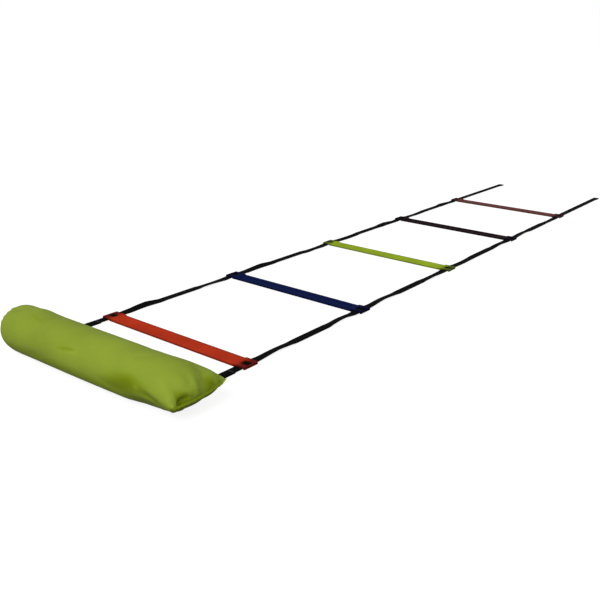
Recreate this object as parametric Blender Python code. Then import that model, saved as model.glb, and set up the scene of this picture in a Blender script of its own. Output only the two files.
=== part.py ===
"""Agility ladder laid out flat on the ground, with its stuffed carry bag across the near end.

Two webbing side straps carry five flat rungs. Each rung end is a keeper: the strap runs over
a low middle bar and under two raised outer bars, so the rung holds by friction and can be slid
along. The ladder folds up like a concertina, once in every bay, so that the rungs stack.

Metres, +Z up. +Y runs along the ladder away from the bag and +X to its right. The origin is on
the ground, under the middle of the first rung.
"""

import math

import bmesh
import bpy
from mathutils import Matrix, Vector

# The ladder as a whole
RUNG_COUNT = 5
RUNG_PITCH = 0.400
RUNG_SHIFT_SHARES = (0.0, -0.035, 0.0, 0.005, 0.0)
NEAR_TAIL = 0.150
FAR_TAIL = 0.400

# Webbing, and the ends that are folded under and sewn flat
WEBBING_WIDTH = 0.019
WEBBING_THICKNESS = 0.0015
SELVEDGE_ROUND = 0.0003
NEAR_HEM = 0.110
FAR_HEM = 0.030

# Sewn bars of thread that hold the folded ends
TACK_WIDTH = 0.015
TACK_LENGTH = 0.003
TACK_HEIGHT = 0.0006
TACK_INSET = 0.002
TACK_ROUND = 0.0002

# Clearances
SLIDE_GAP = 0.0003
SIDE_GAP = 0.0006
FOLD_GAP = 0.0003
STACK_GAP = 0.0003
SEAT_GAP = 0.0003
CUT_OVERRUN = 0.004

# Rungs: a thin plate with a shallow channel, and a raised keeper at each end
RUNG_LENGTH = 0.412
RUNG_WIDTH = 0.040
PLATE_THICKNESS = 0.0030
CHANNEL_WIDTH = 0.018
CHANNEL_DEPTH = 0.0007
CHANNEL_END_GAP = 0.006
KEEPER_WALL = 0.006
OUTER_WALL = 0.0029
KEEPER_BAR_THICKNESS = 0.0019
KEEPER_RAMP = 0.006
WINDOW_WIDTH = 0.017
MIDDLE_BAR_WIDTH = 0.008
CORNER_RADIUS = 0.003
CORNER_STEPS = 3
ROUND_PROFILE = 0.5
EDGE_ROUND = 0.0006
ROUNDED_ANGLE_DEG = 40.0

# Carry bag
BAG_SLACK = 0.064
BAG_DEPTH = 0.097
BAG_HEIGHT = 0.0885
BAG_SAG = 0.002
BAG_OFFSET = 0.0245
BAG_BACK_GAP = 0.0155
BAG_TURN_DEG = 1.4
BAG_STATIONS = 34
BAG_SIDES = 32
SHOULDER_LENGTH = 0.058
SHOULDER_POWER = 4.0
NECK_RADIUS = 0.012
NECK_HEIGHT = 0.050
WEDGE_LENGTH = 0.085
WEDGE_POWER = 2.4
WEDGE_RISE_POWER = 1.6
SEAM_WIDTH = 0.119
SEAM_EDGE_THICKNESS = 0.005
SEAM_HEIGHT = 0.038
SEAM_SET_BACK = 0.016
SEAM_TILT_DEG = 4.6

# The bag's gathered mouth and its sewn end seam
MOUTH_LENGTH = 0.014
MOUTH_RADIUS = 0.018
MOUTH_DIMPLE = 0.007
MOUTH_FLARE_POWER = 1.5
PLEAT_COUNT = 9
PLEAT_DEPTH_SHARE = 0.14
MOUTH_SIDES = 72
MOUTH_RINGS = 6
FIN_DEPTH = 0.003
FIN_THICKNESS = 0.0024
FIN_BOW = 0.007
FIN_STEPS = 12

# Places and levels worked out from the sizes above
STRAP_CENTRES = RUNG_LENGTH - 2 * (OUTER_WALL + SIDE_GAP) - WEBBING_WIDTH
BAG_LENGTH = RUNG_LENGTH + BAG_SLACK
STRAP_LOW = WEBBING_THICKNESS
STRAP_HIGH = STRAP_LOW + WEBBING_THICKNESS
MIDDLE_BAR_TOP = STRAP_LOW - SLIDE_GAP
KEEPER_BAR_LOW = STRAP_HIGH + SLIDE_GAP
RUNG_HEIGHT = KEEPER_BAR_LOW + KEEPER_BAR_THICKNESS
BAG_CENTRE_Y = -(NEAR_TAIL + BAG_BACK_GAP + BAG_DEPTH / 2)

COLOURS = {
    "red": (0.45, 0.035, 0.018),
    "blue": (0.008, 0.028, 0.120),
    "lime": (0.270, 0.380, 0.015),
    "plum": (0.035, 0.012, 0.020),
    "brown": (0.230, 0.060, 0.025),
    "webbing": (0.010, 0.010, 0.011),
    "thread": (0.030, 0.030, 0.032),
    "nylon": (0.220, 0.300, 0.030),
    "nylon_trim": (0.200, 0.275, 0.030),
}
RUNG_COLOURS = ("red", "blue", "lime", "plum", "brown")


def clear_scene():
    for obj in list(bpy.data.objects):
        bpy.data.objects.remove(obj, do_unlink=True)


def material(name, roughness):
    """A plain Principled material in one of the named colours."""
    found = bpy.data.materials.get(name)
    if found:
        return found
    made = bpy.data.materials.new(name)
    made.use_nodes = True
    shader = made.node_tree.nodes["Principled BSDF"]
    shader.inputs["Base Color"].default_value = (*COLOURS[name], 1.0)
    shader.inputs["Roughness"].default_value = roughness
    shader.inputs["Metallic"].default_value = 0.0
    return made


def mesh_from(bm, name):
    """Closes a bmesh into a mesh with its faces pointing out."""
    bmesh.ops.recalc_face_normals(bm, faces=bm.faces[:])
    mesh = bpy.data.meshes.new(name)
    bm.to_mesh(mesh)
    bm.free()
    return mesh


def add_object(name, mesh, place, parent, parent_place):
    """Links an object whose world place is given, under an unturned parent."""
    obj = bpy.data.objects.new(name, mesh)
    bpy.context.scene.collection.objects.link(obj)
    obj.parent = parent
    obj.location = Vector(place) - Vector(parent_place)
    return obj


def prism(bm, outline, axis, start, end):
    """Extrudes an outline, given as pairs across one axis, from start to end along it."""
    first = []
    for a, b in outline:
        place = Vector((start, a, b)) if axis == "X" else Vector((a, start, b))
        first.append(bm.verts.new(place))
    face = bm.faces.new(first)
    travel = Vector((end - start, 0, 0)) if axis == "X" else Vector((0, end - start, 0))
    made = bmesh.ops.extrude_face_region(bm, geom=[face])
    moved = [v for v in made["geom"] if isinstance(v, bmesh.types.BMVert)]
    bmesh.ops.translate(bm, verts=moved, vec=travel)


def loft(bm, rings, start_point, end_point):
    """Skins a row of closed rings, and closes each end with a fan to a middle point."""
    rows = [[bm.verts.new(p) for p in ring] for ring in rings]
    count = len(rows[0])
    for low, high in zip(rows, rows[1:]):
        for i in range(count):
            j = (i + 1) % count
            bm.faces.new((low[i], low[j], high[j], high[i]))
    for row, point in ((rows[0], start_point), (rows[-1], end_point)):
        middle = bm.verts.new(point)
        for i in range(count):
            bm.faces.new((row[i], row[(i + 1) % count], middle))


# Rungs


def rung_outer():
    """The rung before it is cut: plate, ramps and solid keeper blocks, with round corners."""
    end = RUNG_LENGTH / 2
    keeper = STRAP_CENTRES / 2 - WEBBING_WIDTH / 2 - SIDE_GAP - KEEPER_WALL
    ramp = keeper - KEEPER_RAMP
    outline = [
        (-end, 0),
        (end, 0),
        (end, RUNG_HEIGHT),
        (keeper, RUNG_HEIGHT),
        (ramp, PLATE_THICKNESS),
        (-ramp, PLATE_THICKNESS),
        (-keeper, RUNG_HEIGHT),
        (-end, RUNG_HEIGHT),
    ]
    bm = bmesh.new()
    prism(bm, outline, "Y", -RUNG_WIDTH / 2, RUNG_WIDTH / 2)
    bm.normal_update()
    corners = [
        e
        for e in bm.edges
        if all(abs(abs(v.co.x) - end) < SLIDE_GAP for v in e.verts)
        and abs(e.verts[0].co.y - e.verts[1].co.y) < SLIDE_GAP
        and e.verts[0].co.x * e.verts[1].co.x > 0
    ]
    bmesh.ops.bevel(
        bm,
        geom=corners,
        offset=CORNER_RADIUS,
        segments=CORNER_STEPS,
        profile=ROUND_PROFILE,
        affect="EDGES",
    )
    return mesh_from(bm, "rung_outer")


def rung_cutters():
    """What is cut from a rung: the strap's way through each keeper, and the top channel."""
    side = RUNG_WIDTH / 2 + CUT_OVERRUN
    bar = MIDDLE_BAR_WIDTH / 2
    window = WINDOW_WIDTH / 2
    low = -CUT_OVERRUN
    high = RUNG_HEIGHT + CUT_OVERRUN
    way = [
        (-side, low),
        (-bar, low),
        (-bar, MIDDLE_BAR_TOP),
        (bar, MIDDLE_BAR_TOP),
        (bar, low),
        (side, low),
        (side, KEEPER_BAR_LOW),
        (window, KEEPER_BAR_LOW),
        (window, high),
        (-window, high),
        (-window, KEEPER_BAR_LOW),
        (-side, KEEPER_BAR_LOW),
    ]
    inner = STRAP_CENTRES / 2 - WEBBING_WIDTH / 2 - SIDE_GAP
    outer = STRAP_CENTRES / 2 + WEBBING_WIDTH / 2 + SIDE_GAP
    channel_end = inner - KEEPER_WALL - KEEPER_RAMP - CHANNEL_END_GAP
    floor = PLATE_THICKNESS - CHANNEL_DEPTH
    slot = [(-channel_end, floor), (channel_end, floor), (channel_end, high), (-channel_end, high)]
    bm = bmesh.new()
    prism(bm, way, "X", inner, outer)
    prism(bm, way, "X", -outer, -inner)
    prism(bm, slot, "Y", -CHANNEL_WIDTH / 2, CHANNEL_WIDTH / 2)
    return mesh_from(bm, "rung_cutters")


def rung_mesh():
    """One finished rung, centred on its own middle at ground level."""
    body = bpy.data.objects.new("rung_pattern", rung_outer())
    cutter = bpy.data.objects.new("rung_cutter", rung_cutters())
    for obj in (body, cutter):
        bpy.context.scene.collection.objects.link(obj)
    cutter.hide_render = True
    cutter.display_type = "WIRE"
    soften = body.modifiers.new("round_edges", "BEVEL")
    soften.width = EDGE_ROUND
    soften.segments = 1
    soften.limit_method = "ANGLE"
    soften.angle_limit = math.radians(ROUNDED_ANGLE_DEG)
    cut = body.modifiers.new("cut", "BOOLEAN")
    cut.operation = "DIFFERENCE"
    cut.solver = "EXACT"
    cut.object = cutter
    bpy.context.view_layer.update()
    seen = body.evaluated_get(bpy.context.evaluated_depsgraph_get())
    mesh = bpy.data.meshes.new_from_object(seen)
    bpy.data.objects.remove(body, do_unlink=True)
    bpy.data.objects.remove(cutter, do_unlink=True)
    return mesh


def add_rung(index, pattern, parent, parent_place):
    mesh = pattern.copy()
    mesh.materials.clear()
    mesh.materials.append(material(RUNG_COLOURS[index % len(RUNG_COLOURS)], 0.45))
    along = (index + RUNG_SHIFT_SHARES[index % len(RUNG_SHIFT_SHARES)]) * RUNG_PITCH
    return add_object(f"rung_{index + 1}", mesh, (0, along, 0), parent, parent_place)


# Side straps


def strap_outline(index):
    """One section of strap seen from the side, as (along, up), with any sewn end folded under."""
    start = (index - 0.5) * RUNG_PITCH + FOLD_GAP / 2
    end = (index + 0.5) * RUNG_PITCH - FOLD_GAP / 2
    if index == 0:
        start = -NEAR_TAIL
    if index == RUNG_COUNT - 1:
        end = index * RUNG_PITCH + FAR_TAIL
    outline = [(end, STRAP_HIGH), (start, STRAP_HIGH)]
    if index == 0:
        hem = start + NEAR_HEM
        outline += [(start, 0), (hem, 0), (hem, STRAP_LOW)]
    else:
        outline.append((start, STRAP_LOW))
    if index == RUNG_COUNT - 1:
        hem = end - FAR_HEM
        outline += [(hem, STRAP_LOW), (hem, 0), (end, 0)]
    else:
        outline.append((end, STRAP_LOW))
    return outline


def add_strap(side_name, side, index, parent, parent_place):
    outline = [(y - parent_place[1], z - parent_place[2]) for y, z in strap_outline(index)]
    bm = bmesh.new()
    prism(bm, outline, "X", -WEBBING_WIDTH / 2, WEBBING_WIDTH / 2)
    mesh = mesh_from(bm, "strap")
    mesh.materials.append(material("webbing", 0.8))
    place = (side * STRAP_CENTRES / 2, parent_place[1], parent_place[2])
    name = f"strap_{side_name}_{index + 1}"
    obj = add_object(name, mesh, place, parent, parent_place)
    soften = obj.modifiers.new("selvedge", "BEVEL")
    soften.width = SELVEDGE_ROUND
    soften.segments = 1
    soften.limit_method = "ANGLE"
    soften.angle_limit = math.radians(ROUNDED_ANGLE_DEG)
    return obj


def add_tack(end_name, side_name, side, along, parent, parent_place):
    """A bar of thread across the strap, on top of a folded end."""
    low = STRAP_HIGH + SEAT_GAP - parent_place[2]
    start = along - TACK_LENGTH / 2 - parent_place[1]
    end = start + TACK_LENGTH
    outline = [(start, low), (end, low), (end, low + TACK_HEIGHT), (start, low + TACK_HEIGHT)]
    bm = bmesh.new()
    prism(bm, outline, "X", -TACK_WIDTH / 2, TACK_WIDTH / 2)
    mesh = mesh_from(bm, "tack")
    mesh.materials.append(material("thread", 0.7))
    place = (side * STRAP_CENTRES / 2, parent_place[1], parent_place[2])
    obj = add_object(f"tack_{end_name}_{side_name}", mesh, place, parent, parent_place)
    soften = obj.modifiers.new("round_edges", "BEVEL")
    soften.width = TACK_ROUND
    soften.segments = 1
    return obj


def fold_place(index):
    """Where a section's fold axis lies: over the rungs for one fold, under them for the next."""
    folds_up = (RUNG_COUNT - 2 - index) % 2 == 0
    height = RUNG_HEIGHT + STACK_GAP / 2 if folds_up else -STACK_GAP / 2
    return (0, (index + 0.5) * RUNG_PITCH, height)


def add_ladder():
    """The sections, from the far one that stays put to the near one, each on its fold axis."""
    pattern = rung_mesh()
    parent = None
    parent_place = (0, 0, 0)
    for index in reversed(range(RUNG_COUNT)):
        last = index == RUNG_COUNT - 1
        place = (0, index * RUNG_PITCH, 0) if last else fold_place(index)
        empty = add_object(f"section_{index + 1}", None, place, parent, parent_place)
        for side_name, side in (("left", -1), ("right", 1)):
            add_strap(side_name, side, index, empty, place)
            if index == 0:
                along = -NEAR_TAIL + NEAR_HEM - TACK_INSET - TACK_LENGTH / 2
                add_tack("near", side_name, side, along, empty, place)
            if last:
                along = index * RUNG_PITCH + FAR_TAIL - FAR_HEM + TACK_INSET + TACK_LENGTH / 2
                add_tack("far", side_name, side, along, empty, place)
        add_rung(index, pattern, empty, place)
        parent = empty
        parent_place = place
    bpy.data.meshes.remove(pattern)


# Carry bag, modelled about a point on the ground under its middle, with X along it


def smooth(share):
    share = min(max(share, 0.0), 1.0)
    return share * share * (3 - 2 * share)


def blend(a, b, share):
    return a + (b - a) * share


def bag_section(x):
    """Centre and half sizes of the bag's section at x: (y, z, half depth, half height, tilt)."""
    half_depth = BAG_DEPTH / 2
    half_height = (BAG_HEIGHT + BAG_SAG) / 2
    centre_z = half_height - BAG_SAG
    neck_start = -BAG_LENGTH / 2 + SHOULDER_LENGTH
    wedge_start = BAG_LENGTH / 2 - WEDGE_LENGTH
    if x < neck_start:
        share = min((neck_start - x) / SHOULDER_LENGTH, 1.0)
        fullness = math.sqrt(max(1 - share**SHOULDER_POWER, 0.0))
        depth = blend(NECK_RADIUS, half_depth, fullness)
        height = blend(NECK_RADIUS, half_height, fullness)
        return 0.0, blend(centre_z, NECK_HEIGHT, share**2), depth, height, 0.0
    if x > wedge_start:
        share = min((x - wedge_start) / WEDGE_LENGTH, 1.0)
        turn = smooth(share)
        fullness = math.sqrt(max(1 - share**WEDGE_POWER, 0.0))
        depth = blend(half_depth, SEAM_WIDTH / 2, turn)
        height = blend(SEAM_EDGE_THICKNESS / 2, half_height, fullness)
        tilt = math.radians(SEAM_TILT_DEG) * turn
        centre_z = blend(centre_z, SEAM_HEIGHT, share**WEDGE_RISE_POWER)
        return SEAM_SET_BACK * turn, centre_z, depth, height, tilt
    return 0.0, centre_z, half_depth, half_height, 0.0


def bag_ring(x):
    """One ring of the bag, with its underside pressed flat where it meets the ground."""
    y, z, depth, height, tilt = bag_section(x)
    points = []
    for i in range(BAG_SIDES):
        turn = 2 * math.pi * (i + 0.5) / BAG_SIDES
        across = depth * math.cos(turn)
        up = height * math.sin(turn)
        dy = across * math.cos(tilt) - up * math.sin(tilt)
        dz = across * math.sin(tilt) + up * math.cos(tilt)
        points.append(Vector((x, y + dy, max(z + dz, 0.0))))
    return points


def bag_places():
    """Where the rings lie: close together over the shoulder and the wedge, wide between."""
    shoulder = BAG_STATIONS // 3
    wedge = BAG_STATIONS // 3
    middle = BAG_STATIONS - shoulder - wedge
    start = -BAG_LENGTH / 2
    end = BAG_LENGTH / 2
    places = []
    for i in range(shoulder):
        places.append(start + SHOULDER_LENGTH * (1 - math.cos(math.pi / 2 * i / shoulder)))
    straight = BAG_LENGTH - SHOULDER_LENGTH - WEDGE_LENGTH
    for i in range(middle):
        places.append(start + SHOULDER_LENGTH + straight * i / middle)
    for i in range(wedge + 1):
        places.append(end - WEDGE_LENGTH + WEDGE_LENGTH * math.sin(math.pi / 2 * i / wedge))
    return places


def bag_body_mesh():
    places = bag_places()
    rings = [bag_ring(x) for x in places]
    bm = bmesh.new()
    ends = []
    for x in (places[0], places[-1]):
        y, z = bag_section(x)[:2]
        ends.append(Vector((x, y, z)))
    loft(bm, rings, *ends)
    return mesh_from(bm, "bag_body")


def bag_mouth_mesh():
    """The gathered cloth outside the drawn-in mouth, flaring into pleats."""
    start = -BAG_LENGTH / 2 - SEAT_GAP
    rings = []
    for i in range(MOUTH_RINGS + 1):
        share = i / MOUTH_RINGS
        radius = blend(NECK_RADIUS, MOUTH_RADIUS, share**MOUTH_FLARE_POWER)
        ring = []
        for k in range(MOUTH_SIDES):
            turn = 2 * math.pi * k / MOUTH_SIDES
            pleat = 1 + PLEAT_DEPTH_SHARE * smooth(share) * math.cos(PLEAT_COUNT * turn)
            y = radius * pleat * math.cos(turn)
            z = NECK_HEIGHT + radius * pleat * math.sin(turn)
            ring.append(Vector((start - MOUTH_LENGTH * share, y, z)))
        rings.append(ring)
    bm = bmesh.new()
    near = Vector((start, 0, NECK_HEIGHT))
    far = Vector((start - MOUTH_LENGTH + MOUTH_DIMPLE, 0, NECK_HEIGHT))
    loft(bm, rings, near, far)
    return mesh_from(bm, "bag_mouth")


def bag_seam_mesh():
    """The flat allowance of the sewn end seam, standing out from the bag's wedge end."""
    start = BAG_LENGTH / 2 + SEAT_GAP
    edge = []
    for i in range(FIN_STEPS + 1):
        share = 2 * i / FIN_STEPS - 1
        out = start + FIN_DEPTH + FIN_BOW * (1 - share * share)
        edge.append((out, share * SEAM_WIDTH / 2))
    outline = [(start, -SEAM_WIDTH / 2), *edge, (start, SEAM_WIDTH / 2)]
    bm = bmesh.new()
    face = bm.faces.new([bm.verts.new((x, y, -FIN_THICKNESS / 2)) for x, y in outline])
    made = bmesh.ops.extrude_face_region(bm, geom=[face])
    moved = [v for v in made["geom"] if isinstance(v, bmesh.types.BMVert)]
    bmesh.ops.translate(bm, verts=moved, vec=(0, 0, FIN_THICKNESS))
    tilt = Matrix.Rotation(math.radians(SEAM_TILT_DEG), 4, "X")
    shift = Matrix.Translation((0, SEAM_SET_BACK, SEAM_HEIGHT))
    bmesh.ops.transform(bm, matrix=shift @ tilt, verts=bm.verts[:])
    return mesh_from(bm, "bag_end_seam")


def add_bag():
    place = (BAG_OFFSET, BAG_CENTRE_Y, 0)
    bag = add_object("bag", None, place, None, (0, 0, 0))
    bag.rotation_euler.z = math.radians(BAG_TURN_DEG)
    pieces = (
        ("bag_body", bag_body_mesh(), "nylon"),
        ("bag_mouth", bag_mouth_mesh(), "nylon_trim"),
        ("bag_end_seam", bag_seam_mesh(), "nylon_trim"),
    )
    for name, mesh, colour in pieces:
        mesh.materials.append(material(colour, 0.6))
        mesh.shade_smooth()
        add_object(name, mesh, place, bag, place)


def main():
    clear_scene()
    add_ladder()
    add_bag()
    bpy.context.view_layer.update()


main()
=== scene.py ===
# %% [markdown]
# # An agility ladder and its carry bag
#
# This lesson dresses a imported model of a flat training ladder: five plastic rungs on two webbing
# straps, and the stuffed bag that the ladder is carried in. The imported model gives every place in
# metres, with +Y along the ladder, away from the bag, and +Z up from the ground. We first set up
# the picture, then make each piece with the tools that we would use by hand.

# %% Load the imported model
import math

import bmesh
import bpy
import numpy as np
from mathutils import Matrix, Vector


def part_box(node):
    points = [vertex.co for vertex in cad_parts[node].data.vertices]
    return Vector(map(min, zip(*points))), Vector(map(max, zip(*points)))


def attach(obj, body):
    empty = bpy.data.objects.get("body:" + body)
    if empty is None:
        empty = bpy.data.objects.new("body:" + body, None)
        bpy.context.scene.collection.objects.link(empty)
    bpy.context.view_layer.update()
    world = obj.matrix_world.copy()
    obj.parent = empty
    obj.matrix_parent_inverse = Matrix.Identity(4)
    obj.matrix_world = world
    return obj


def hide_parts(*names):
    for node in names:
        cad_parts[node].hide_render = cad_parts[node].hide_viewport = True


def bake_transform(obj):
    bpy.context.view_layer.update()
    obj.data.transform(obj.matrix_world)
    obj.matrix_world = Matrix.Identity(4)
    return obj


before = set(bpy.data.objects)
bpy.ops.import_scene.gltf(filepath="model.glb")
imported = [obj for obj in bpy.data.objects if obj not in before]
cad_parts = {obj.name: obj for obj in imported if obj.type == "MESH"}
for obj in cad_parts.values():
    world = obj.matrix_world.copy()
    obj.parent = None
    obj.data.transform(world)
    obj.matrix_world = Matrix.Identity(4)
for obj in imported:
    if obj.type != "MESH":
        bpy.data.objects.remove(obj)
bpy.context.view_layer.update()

# %% [markdown]
# ## The picture
#
# The camera stands low, in front of the bag and to its right, and looks along the ladder. Its
# place was worked out from where the straps cross the rungs in the picture that we match. A
# camera looks along its own -Z, so it is first tipped up by a right angle less its pitch, then
# turned to its heading. A small roll goes in before both.

# %% Camera
CAMERA_PLACE = (1.07538, -0.97813, 0.60248)
CAMERA_PITCH_DEG = 19.699
CAMERA_HEADING_DEG = 37.759
CAMERA_ROLL_DEG = 1.049
CAMERA_LENS_MM = 45.97
SENSOR_MM = 36.0
NEAREST_SEEN = 0.01

camera_data = bpy.data.cameras.new("camera")
camera_data.lens = CAMERA_LENS_MM
camera_data.sensor_width = SENSOR_MM
camera_data.clip_start = NEAREST_SEEN
camera = bpy.data.objects.new("camera", camera_data)
bpy.context.scene.collection.objects.link(camera)
heading = Matrix.Rotation(math.radians(CAMERA_HEADING_DEG), 4, "Z")
tip = Matrix.Rotation(math.radians(90 - CAMERA_PITCH_DEG), 4, "X")
roll = Matrix.Rotation(math.radians(CAMERA_ROLL_DEG), 4, "Z")
camera.matrix_world = Matrix.Translation(CAMERA_PLACE) @ heading @ tip @ roll
bpy.context.scene.camera = camera
bpy.context.scene.view_settings.view_transform = "Standard"
print("camera at", CAMERA_PLACE)

# %% [markdown]
# ## Light and floor
#
# A catalogue picture has even light and a white ground. Two soft suns and a pale sky give the
# object a plain level, at which a white thing just reaches white. The floor is a pale plane that
# takes the object's shadow; to the camera it also gives off a little light of its own, which
# carries it up to white without adding anything to the object.

# %% Helpers for materials


def new_material(name):
    """A material with an empty node tree but for its Principled shader and its output."""
    made = bpy.data.materials.new(name)
    made.use_nodes = True
    nodes = made.node_tree.nodes
    shader = nodes["Principled BSDF"]
    shader.inputs["Metallic"].default_value = 0.0
    return made, nodes, made.node_tree.links, shader


def background_rays(nodes, links):
    """1 for a ray that shows the background: seen straight, mirrored or through glass."""
    path = nodes.new("ShaderNodeLightPath")
    value = path.outputs["Is Camera Ray"]
    for kind in ("Is Glossy Ray", "Is Transmission Ray"):
        either = nodes.new("ShaderNodeMath")
        either.operation = "MAXIMUM"
        links.new(value, either.inputs[0])
        links.new(path.outputs[kind], either.inputs[1])
        value = either.outputs[0]
    return value


# %% Sky, suns and floor
SKY_LEVEL = 0.28
KEY_LEVEL = 2.65
FILL_LEVEL = 0.15
FLOOR_SIZE = 60.0
FLOOR_DROP = 0.0004
FLOOR_COLOUR = (0.18, 0.18, 0.18, 1.0)
FLOOR_GLOW = 0.86

world = bpy.data.worlds.new("sky")
bpy.context.scene.world = world
world.use_nodes = True
tree = world.node_tree
background = tree.nodes["Background"]
background.inputs["Color"].default_value = (1.0, 1.0, 1.0, 1.0)
level = tree.nodes.new("ShaderNodeMapRange")
level.inputs["To Min"].default_value = SKY_LEVEL
level.inputs["To Max"].default_value = 1.0
tree.links.new(background_rays(tree.nodes, tree.links), level.inputs["Value"])
tree.links.new(level.outputs["Result"], background.inputs["Strength"])


def add_sun(name, strength, tilt_deg, turn_deg, softness_deg):
    data = bpy.data.lights.new(name, "SUN")
    data.energy = strength
    data.angle = math.radians(softness_deg)
    sun = bpy.data.objects.new(name, data)
    sun.rotation_euler = (math.radians(tilt_deg), 0.0, math.radians(turn_deg))
    bpy.context.scene.collection.objects.link(sun)


add_sun("key_light", KEY_LEVEL, 47.0, 18.0, 38.0)
add_sun("fill_light", FILL_LEVEL, 55.0, 110.0, 60.0)

bpy.ops.object.select_all(action="DESELECT")
bpy.ops.mesh.primitive_plane_add(size=FLOOR_SIZE, location=(0, 0, -FLOOR_DROP))
floor = bpy.context.active_object
floor.name = "floor"
floor_paint, nodes, links, shader = new_material("floor")
shader.inputs["Base Color"].default_value = FLOOR_COLOUR
shader.inputs["Roughness"].default_value = 0.9
shader.inputs["Emission Color"].default_value = (1.0, 1.0, 1.0, 1.0)
glow = nodes.new("ShaderNodeMath")
glow.operation = "MULTIPLY"
glow.inputs[1].default_value = FLOOR_GLOW
links.new(background_rays(nodes, links), glow.inputs[0])
links.new(glow.outputs[0], shader.inputs["Emission Strength"])
floor.data.materials.append(floor_paint)
print("floor and lights are in place")

# %% [markdown]
# ## Working by hand, in code
#
# Every piece below starts from a primitive at its real size and is shaped in edit mode. A few
# small helpers stand in for the mouse: they make a block between two corners, pick parts of a
# mesh by a rule, cut straight through it, and take one solid away from another.

# %% Helpers for modelling
SNAP = 1e-5


def take(obj):
    """Makes obj the only selected and active object."""
    if bpy.context.object and bpy.context.object.mode != "OBJECT":
        bpy.ops.object.mode_set(mode="OBJECT")
    bpy.ops.object.select_all(action="DESELECT")
    obj.select_set(True)
    bpy.context.view_layer.objects.active = obj


def block(name, low, high):
    """A box between two corners."""
    bpy.ops.object.select_all(action="DESELECT")
    middle = [(a + b) / 2 for a, b in zip(low, high)]
    bpy.ops.mesh.primitive_cube_add(size=1, location=middle)
    obj = bpy.context.active_object
    obj.name = name
    obj.scale = [b - a for a, b in zip(low, high)]
    bpy.ops.object.transform_apply(location=True, rotation=True, scale=True)
    return obj


def pick(obj, kind, rule):
    """Goes into edit mode and selects the verts, edges or faces that a rule is true for."""
    take(obj)
    bpy.ops.object.mode_set(mode="EDIT")
    bpy.ops.mesh.select_mode(type=kind)
    bpy.ops.mesh.select_all(action="DESELECT")
    bm = bmesh.from_edit_mesh(obj.data)
    parts = {"VERT": bm.verts, "EDGE": bm.edges, "FACE": bm.faces}[kind]
    for part in parts:
        if rule(part):
            part.select = True
    bm.select_flush_mode()
    bmesh.update_edit_mesh(obj.data)


def slice_through(obj, axis, places):
    """Cuts an edge loop through the whole mesh at each place along an axis."""
    for place in places:
        pick(obj, "FACE", lambda f: True)
        point = [0.0, 0.0, 0.0]
        normal = [0.0, 0.0, 0.0]
        point[axis] = place
        normal[axis] = 1.0
        bpy.ops.mesh.bisect(plane_co=point, plane_no=normal)
    take(obj)


# %% Helpers that finish a mesh


def close_up(obj):
    """Merges doubles and turns every face outwards."""
    pick(obj, "VERT", lambda v: True)
    bpy.ops.mesh.remove_doubles(threshold=SNAP)
    bpy.ops.mesh.normals_make_consistent(inside=False)
    take(obj)


def apply_modifiers(obj):
    take(obj)
    for modifier in list(obj.modifiers):
        bpy.ops.object.modifier_apply(modifier=modifier.name)


def cut(obj, cutter):
    """Takes one closed solid away from another."""
    modifier = obj.modifiers.new("cut", "BOOLEAN")
    modifier.operation = "DIFFERENCE"
    modifier.solver = "EXACT"
    modifier.object = cutter
    apply_modifiers(obj)
    bpy.data.objects.remove(cutter, do_unlink=True)


def triangles(obj):
    return sum(len(face.vertices) - 2 for face in obj.data.polygons)


# %% [markdown]
# ## The rungs
#
# Each rung is one moulding: a flat plate that a runner can step on without turning an ankle, with
# a shallow channel along its top. At each end a keeper holds the webbing, which runs over a low
# middle bar and under two raised bars, so that it grips by its own stiffness and can still be
# slid. One rung is modelled and then copied, because a factory fills one mould five times.

# %% Rung sizes
RUNG_END, RUNG_SIDE, RUNG_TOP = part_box("rung_1")[1]
PLATE_TOP = 0.0030
RAMP_FOOT = 0.1709
RAMP_HEAD = 0.1769
WAY_INNER = 0.1829
WAY_OUTER = 0.2031
MIDDLE_BAR_TOP = 0.0012
MIDDLE_BAR_HALF = 0.0040
KEEPER_BAR_LOW = 0.0033
WINDOW_HALF = 0.0085
CHANNEL_HALF = 0.0090
CHANNEL_SLOPE = 0.0010
CHANNEL_END = 0.1640
CHANNEL_DEPTH = 0.0007
CORNER_ROUND = 0.0030
EDGE_ROUND = 0.0005
OVERRUN = 0.0040
ROUNDED_TURN_DEG = 25
RUNG_SMOOTH_DEG = 30
print("rung mm:", [round(1000 * v, 1) for v in (2 * RUNG_END, 2 * RUNG_SIDE, RUNG_TOP)])

# %% Plate, ramps and channel
rung = block("rung", (-RUNG_END, -RUNG_SIDE, 0), (RUNG_END, RUNG_SIDE, RUNG_TOP))
slice_through(rung, 0, [s * x for x in (RAMP_HEAD, RAMP_FOOT) for s in (-1, 1)])
pick(rung, "VERT", lambda v: abs(v.co.x) < RAMP_FOOT + SNAP and v.co.z > RUNG_TOP - SNAP)
bpy.ops.transform.translate(value=(0, 0, PLATE_TOP - RUNG_TOP))
channel_rim = CHANNEL_HALF + CHANNEL_SLOPE
slice_through(rung, 1, [s * y for y in (CHANNEL_HALF, channel_rim) for s in (-1, 1)])
slice_through(rung, 0, [s * (CHANNEL_END + d) for d in (0, CHANNEL_SLOPE) for s in (-1, 1)])
pick(
    rung,
    "VERT",
    lambda v: abs(v.co.x) < CHANNEL_END + SNAP
    and abs(v.co.y) < CHANNEL_HALF + SNAP
    and abs(v.co.z - PLATE_TOP) < SNAP,
)
bpy.ops.transform.translate(value=(0, 0, -CHANNEL_DEPTH))


def upright_corner(edge):
    """Whether an edge stands at one of the plate's four outer corners."""
    one, other = (v.co for v in edge.verts)
    at_end = all(abs(co.x) > RUNG_END - SNAP for co in (one, other))
    at_side = all(abs(co.y) > RUNG_SIDE - SNAP for co in (one, other))
    return at_end and at_side and abs(one.z - other.z) > SNAP


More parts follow.
